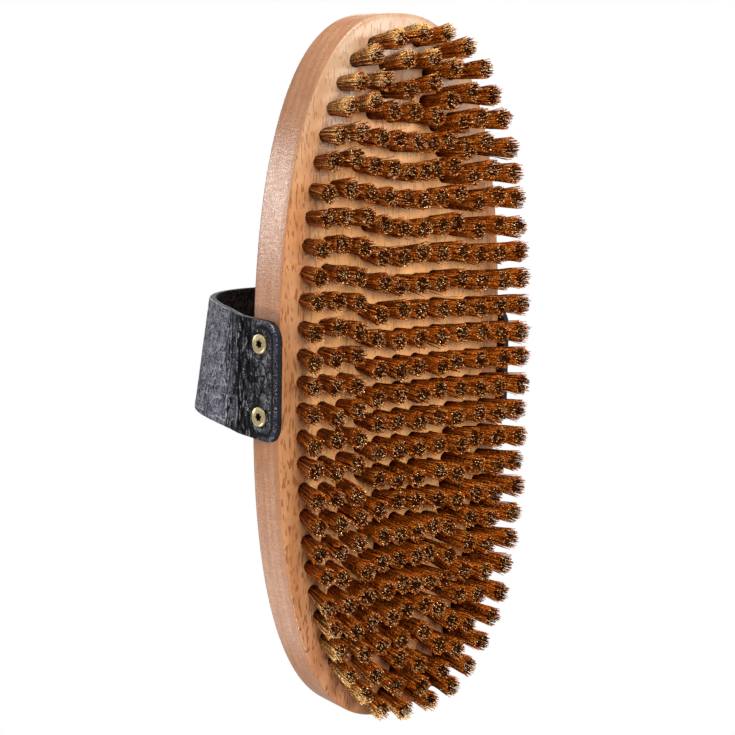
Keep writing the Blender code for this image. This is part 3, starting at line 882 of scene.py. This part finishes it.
# bow is the paler, bluer colour painted on the bow as painted sheen
leatherLook = dict(dark=(0.0025, 0.0025, 0.0040), grain=(0.057, 0.055, 0.081), bow=(0.280, 0.263, 0.380),
                   worn=(0.24, 0.23, 0.27), line=(0.66, 0.65, 0.70), cellSize=(0.0009, 0.0006), fineSize=0.00030,
                   creases=((0.0060, 0.0014, 0.0), (0.0044, 0.0016, 0.45), (0.0040, 0.0024, -1.2), (0.0085, 0.0021, 1.5)),
                   scratches=((0.0062, 0.00085, 0.6), (0.0052, 0.00085, 2.3), (0.0075, 0.00090, 1.5)),
                   roughLow=0.40, roughHigh=0.62)


def leatherFinish():
    look = leatherLook
    finish, pen, shader = newFinish("blackLeather", Specular_IOR_Level=0.12)
    sheet = pen.node("ShaderNodeUVMap", {"uv_map": "leather"})
    valley = pen.node("ShaderNodeAttribute", {"attribute_name": "valley"}, output="Fac")
    bowed = pen.node("ShaderNodeAttribute", {"attribute_name": "bowed"}, output="Fac")
    warp = pen.noise(sheet, (0.003, 0.003, 1.0), 2.0).out("Color")
    drift = pen.vector("SCALE", pen.vector("SUBTRACT", warp, (0.5, 0.5, 0.5)), 0.0016)
    bent = pen.vector("ADD", sheet, drift)
    scale = (1 / look["cellSize"][0], 1 / look["cellSize"][1], 1)
    scaled = pen.node("ShaderNodeMapping", {}, {"Vector": bent, "Scale": scale})
    cells = pen.node("ShaderNodeTexVoronoi", {"feature": "DISTANCE_TO_EDGE", "voronoi_dimensions": "2D"},
                     {"Vector": scaled, "Scale": 1.0}, "Distance")
    pebble = cells.rise(0.0, 0.25)
    fine = pen.noise(bent, (look["fineSize"], look["fineSize"], 1.0), 3.0, 0.6)
    broad = pen.noise(sheet, (0.006, 0.006, 1.0), 2.0)
    crest = (1 - valley.rise(0.10, 0.70)) * (0.70 + 0.30 * pebble)
    # painted sheen: the bow paler and bluer than the grain
    colour = pen.tint(bowed, look["grain"] + (1,), look["bow"] + (1,))
    colour = pen.tint(fine.rise(0.52, 0.75) * broad.rise(0.35, 0.65) * 0.35, colour, look["worn"] + (1,))
    height = pebble * (0.4 - 0.25 * bowed) + fine * (0.22 - 0.14 * bowed)
    # creases in the grain: a groove painted dark as painted shade, with a painted highlight on one edge
    for layer, (along, across, turn) in enumerate(look["creases"]):
        turned = pen.node("ShaderNodeMapping", {}, {"Vector": bent, "Rotation": (0.0, 0.0, turn)})
        level = pen.noise(turned, (along, across, 1.0), 1.0) - 0.5
        groove = 1 - pen.math("ABSOLUTE", level).rise(0.0, 0.045)
        pale = level.rise(0.040, 0.056) * (1 - level.rise(0.062, 0.082))
        patch = pen.noise(pen.vector("ADD", sheet, (0.0, 0.3 + layer, 0.0)), (0.006, 0.004, 1.0), 1.0)
        colour = pen.tint(pale * patch.rise(0.42, 0.56) * (0.46 + 0.40 * bowed), colour, look["line"] + (1,))
        colour = pen.tint(groove * patch.rise(0.36, 0.50) * (0.9 - 0.2 * bowed), colour, look["dark"] + (1,))
        height = height - groove * patch.rise(0.36, 0.52) * 0.8
    # short pale scratches on the bow
    for along, across, turn in look["scratches"]:
        turned = pen.node("ShaderNodeMapping", {}, {"Vector": bent, "Rotation": (0.0, 0.0, turn)})
        scratch = pen.noise(turned, (along, across, 1.0), 0.0).rise(0.655, 0.680)
        colour = pen.tint(scratch * bowed.rise(0.1, 0.6) * 0.75, colour, look["line"] + (1,))
    # painted shade in the folds, cell grooves and bead groove
    colour = pen.tint(crest, look["dark"] + (1,), colour)
    # painted highlight on the shoulders beside the bead groove
    shoulder = valley.rise(0.06, 0.22) * (1 - valley.rise(0.30, 0.50)) * bowed.rise(-0.05, -0.004)
    colour = pen.tint(shoulder * broad.rise(0.42, 0.62) * 0.4, colour, look["line"] + (1,))
    rough = look["roughHigh"] - (look["roughHigh"] - look["roughLow"]) * crest + 0.12 * (fine - 0.5)
    feed(shader, Base_Color=colour, Roughness=rough, Normal=pen.bump(height, 0.9, 0.00040))
    return finish


def fleshFinish():
    finish, pen, shader = newFinish("leatherFlesh", Specular_IOR_Level=0.1)
    place = pen.node("ShaderNodeTexCoord", output="Object")
    nap = pen.noise(place, (0.0009, 0.0009, 0.0009), 4.0, 0.65)
    broad = pen.noise(place, (0.006, 0.006, 0.006), 2.0)
    colour = pen.tint(nap.rise(0.40, 0.66), (0.0026, 0.0018, 0.0020, 1), (0.040, 0.030, 0.031, 1))
    colour = pen.tint(broad.rise(0.4, 0.8) * 0.4, colour, (0.009, 0.007, 0.006, 1))
    feed(shader, Base_Color=colour, Roughness=0.82 + 0.12 * nap, Normal=pen.bump(nap, 0.5, 0.0002))
    return finish


def cutEdgeFinish():
    finish, pen, shader = newFinish("leatherEdge", Specular_IOR_Level=0.2)
    place = pen.node("ShaderNodeTexCoord", output="Object")
    fibre = pen.noise(place, (0.0004, 0.0004, 0.0004), 3.0, 0.6)
    colour = pen.tint(fibre.rise(0.3, 0.75), (0.006, 0.0066, 0.009, 1), (0.024, 0.026, 0.035, 1))
    feed(shader, Base_Color=colour, Roughness=0.55 + 0.2 * fibre, Normal=pen.bump(fibre, 0.4, 0.00015))
    return finish


strapPiece = addPiece("leatherStrap", meshOf("leatherStrap", strapShape(), 60),
                      [leatherFinish(), fleshFinish(), cutEdgeFinish()])
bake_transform(strapPiece)
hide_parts("hand_strap")
print("strap made:", len(strapPiece.data.polygons), "faces")


# brass countersunk screws with a six-lobed recess
def screwRow(radius, height, lobe=0.0):
    row = []
    for side in range(screw["sides"]):
        turn = 2 * math.pi * side / screw["sides"]
        reach = radius - lobe * (1 - math.cos(screw["lobes"] * turn)) / 2
        row.append((reach * math.cos(turn), reach * math.sin(turn), height))
    return row


def screwPattern(finish):
    s = screw
    bevel = 0.00012
    rows = [(screwRow(s["recess"] * 0.86, -s["recessDepth"], s["lobe"] * 0.86), 1.0),
            (screwRow(s["recess"] * 0.93, -bevel * 2, s["lobe"]), 1.0),
            (screwRow(s["recess"] + bevel * 0.6, 0.0, s["lobe"]), 0.55),
            (screwRow(s["recess"] + bevel * 1.4, 0.0, s["lobe"]), 0.0),
            (screwRow(s["recess"] + 0.0005, -bevel * 0.5), 0.15),
            (screwRow(s["head"] - bevel * 5, -bevel * 0.9), 0.25),
            (screwRow(s["head"] - bevel * 2.6, bevel * 0.3), 0.0),
            (screwRow(s["head"] - bevel * 0.9, -bevel * 0.2), 0.0),
            (screwRow(s["head"], -bevel * 1.4), 0.0),
            (screwRow(s["head"], -s["rim"]), 0.3),
            (screwRow(s["radius"], -s["rim"] - s["cone"]), 1.0),
            (screwRow(s["radius"], s["point"] - s["length"]), 1.0)]
    shape = bmesh.new()
    shade = shape.verts.layers.float.new("shade")
    placed = []
    for row, dark in rows:
        placed.append([shape.verts.new(point) for point in row])
        for vert in placed[-1]:
            vert[shade] = dark
    for upper, lower in zip(placed, placed[1:]):
        bridge(shape, upper, lower)
    shape.faces.new(placed[0])
    tip = shape.verts.new((0, 0, -s["length"]))
    tip[shade] = 1.0
    for side in range(s["sides"]):
        shape.faces.new((placed[-1][side - 1], placed[-1][side], tip))
    mesh = meshOf("screwPattern", shape, 25)
    mesh.materials.append(finish)
    return bpy.data.objects.new("screwPattern", mesh)


def screwTree():
    tree = bpy.data.node_groups.new("strapScrews", "GeometryNodeTree")
    addSockets(tree, [("Screw", "NodeSocketObject"), ("Finish", "NodeSocketMaterial"), ("Seed", "NodeSocketInt")])
    pen = Pin(tree).node("NodeGroupInput")
    points = pen.node("GeometryNodeMeshToPoints", {}, {"Mesh": pen.out("Geometry")})
    roll = pen.node("FunctionNodeEulerToRotation", {},
                    {0: pen.join(0.0, 0.0, randomValue(pen, 0.0, 2 * math.pi, pen.out("Seed")))})
    aim = pen.node("FunctionNodeAlignRotationToVector", {"axis": "Z"},
                   {"Rotation": roll, "Vector": readField(pen, "outward", "FLOAT_VECTOR")})
    shape = pen.node("GeometryNodeObjectInfo", {"transform_space": "ORIGINAL"}, {"Object": pen.out("Screw")}, "Geometry")
    made = pen.node("GeometryNodeInstanceOnPoints", {}, {"Points": points, "Instance": shape, "Rotation": aim})
    made = pen.node("GeometryNodeRealizeInstances", {}, {"Geometry": made})
    made = pen.node("GeometryNodeSetMaterial", {}, {"Geometry": made, "Material": pen.out("Finish")})
    pen.node("NodeGroupOutput", {}, {"Geometry": made})
    return tree


def screwPoints():
    tilt = math.radians(screw["tilt"])
    spots, ways = [], []
    for side in (1, -1):
        for end in (1, -1):
            way = Vector((side * math.cos(tilt), 0.0, -math.sin(tilt)))
            spots.append(Vector((side * (strapX + strap["thickness"] / 2), end * screwY, screwZ)) + way * screw["proud"])
            ways.append(way)
    mesh = bpy.data.meshes.new("strapScrews")
    mesh.from_pydata(spots, [], [])
    field = mesh.attributes.new("outward", "FLOAT_VECTOR", "POINT")
    field.data.foreach_set("vector", np.array(ways, np.float32).ravel())
    return mesh


brassLook = dict(bright=(0.84, 0.70, 0.40), dull=(0.62, 0.46, 0.20), dark=(0.05, 0.03, 0.012))


def brassFinish():
    look = brassLook
    finish, pen, shader = newFinish("screwBrass", Metallic=1.0)
    place = pen.node("ShaderNodeTexCoord", output="Object")
    scuff = pen.noise(place, (0.0006, 0.0006, 0.0006), 3.0, 0.6)
    fine = pen.noise(place, (0.00012, 0.00012, 0.00012), 2.0)
    shade = pen.node("ShaderNodeAttribute", {"attribute_name": "shade"}, output="Fac")
    colour = pen.tint(scuff.rise(0.35, 0.7) * 0.6, look["bright"] + (1,), look["dull"] + (1,))
    colour = pen.tint(shade.rise(0.1, 0.9), colour, look["dark"] + (1,))
    feed(shader, Base_Color=colour, Roughness=0.24 + 0.16 * scuff + 0.3 * shade, Normal=pen.bump(fine, 0.08, 0.0001))
    return finish


brass = brassFinish()
pattern = screwPattern(brass)
screwMesh = growMesh("strapScrews", screwPoints(), screwTree(), {"Screw": pattern, "Finish": brass, "Seed": 3})
bpy.data.objects.remove(pattern)
screwPiece = addPiece("strapScrews", screwMesh, [])
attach(screwPiece, "block")
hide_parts(*[f"strap_screw_{side}_{end}" for side in ("right", "left") for end in ("front", "rear")])
print("screws made:", len(screwMesh.polygons), "faces", [m and m.name for m in screwMesh.materials])


# plain pale floor that shows from above only, white all round, soft lamps placed as in the photograph's studio
stage = dict(floorSize=4.0, floorDrop=0.0004, floorColour=(0.86, 0.86, 0.86, 1), floorGlow=0.50,
             worldLight=0.14, glossyLight=0.40)
# right, up and towards the photograph's camera in metres, size, watts, and the kinds of surface that it lights
lamps = [("keyFront", (0.06, 0.05, 0.42), 0.15, 1.50, "matt"),
         ("keyTop", (0.15, 0.50, 0.35), 0.30, 3.0, "both"),
         ("lowLeft", (-0.22, -0.32, 0.16), 0.085, 0.75, "both"),
         ("cardRight", (0.61, 0.13, 0.32), 0.26, 1.9, "both"),
         ("cardLeft", (-0.62, 0.155, -0.28), 0.20, 0.80, "gloss"),
         ("cardLow", (-0.53, -0.27, -0.41), 0.33, 0.40, "gloss")]


def addFloor():
    half = stage["floorSize"] / 2
    mesh = bpy.data.meshes.new("floor")
    mesh.from_pydata([(-half, -half, -stage["floorDrop"]), (half, -half, -stage["floorDrop"]),
                      (half, half, -stage["floorDrop"]), (-half, half, -stage["floorDrop"])], [], [(0, 1, 2, 3)])
    finish = bpy.data.materials.new("paleFloor")
    finish.use_nodes = True
    pen = Pin(finish.node_tree)
    shader = finish.node_tree.nodes["Principled BSDF"]
    shader.inputs["Base Color"].default_value = stage["floorColour"]
    shader.inputs["Emission Color"].default_value = stage["floorColour"]
    shader.inputs["Emission Strength"].default_value = stage["floorGlow"]
    shader.inputs["Roughness"].default_value = 0.9
    shader.inputs["Specular IOR Level"].default_value = 0.1
    behind = pen.node("ShaderNodeNewGeometry", output="Backfacing")
    clear = pen.node("ShaderNodeBsdfTransparent")
    mixed = pen.node("ShaderNodeMixShader", {}, {0: behind, 1: Pin(finish.node_tree, shader.outputs[0]), 2: clear})
    finish.node_tree.links.new(mixed.socket, finish.node_tree.nodes["Material Output"].inputs["Surface"])
    floor = addPiece("floor", mesh, [finish])
    for kind in ("visible_diffuse", "visible_glossy", "visible_transmission", "visible_shadow"):
        setattr(floor, kind, False)


def addWorld():
    world = bpy.data.worlds.new("studio")
    bpy.context.scene.world = world
    world.use_nodes = True
    tree = world.node_tree
    pen = Pin(tree)
    path = pen.node("ShaderNodeLightPath", output="Is Camera Ray")
    seen = pen.math("MAXIMUM", path, path.out("Is Transmission Ray"))
    background = tree.nodes["Background"]
    background.inputs["Color"].default_value = (1, 1, 1, 1)
    glossy = (stage["glossyLight"] - stage["worldLight"]) * path.out("Is Glossy Ray")
    strength = stage["worldLight"] + glossy + (1 - stage["worldLight"]) * seen
    tree.links.new(strength.socket, background.inputs["Strength"])


def addLamp(name, place, size, watts, lights="both", target=Vector((0, 0, 0.015))):
    data = bpy.data.lights.new(name, "AREA")
    data.shape = "DISK"
    data.size = size
    data.energy = watts
    lamp = bpy.data.objects.new(name, data)
    lamp.location = place
    lamp.rotation_mode = "QUATERNION"
    lamp.rotation_quaternion = (target - Vector(place)).to_track_quat("-Z", "Y")
    lamp.visible_camera = False
    lamp.visible_glossy = lights != "matt"
    lamp.visible_diffuse = lights != "gloss"
    bpy.context.scene.collection.objects.link(lamp)


addFloor()
addWorld()
for name, spot, size, watts, lights in lamps:
    addLamp(name, photoAxes @ Vector(spot), size, watts, lights)
addLamp("overhead", (-0.45, 0.05, 0.60), 0.6, 4.0, target=Vector((0, 0, 0.03)))
bpy.context.scene.view_settings.view_transform = "Standard"
print("stage and lamps set")
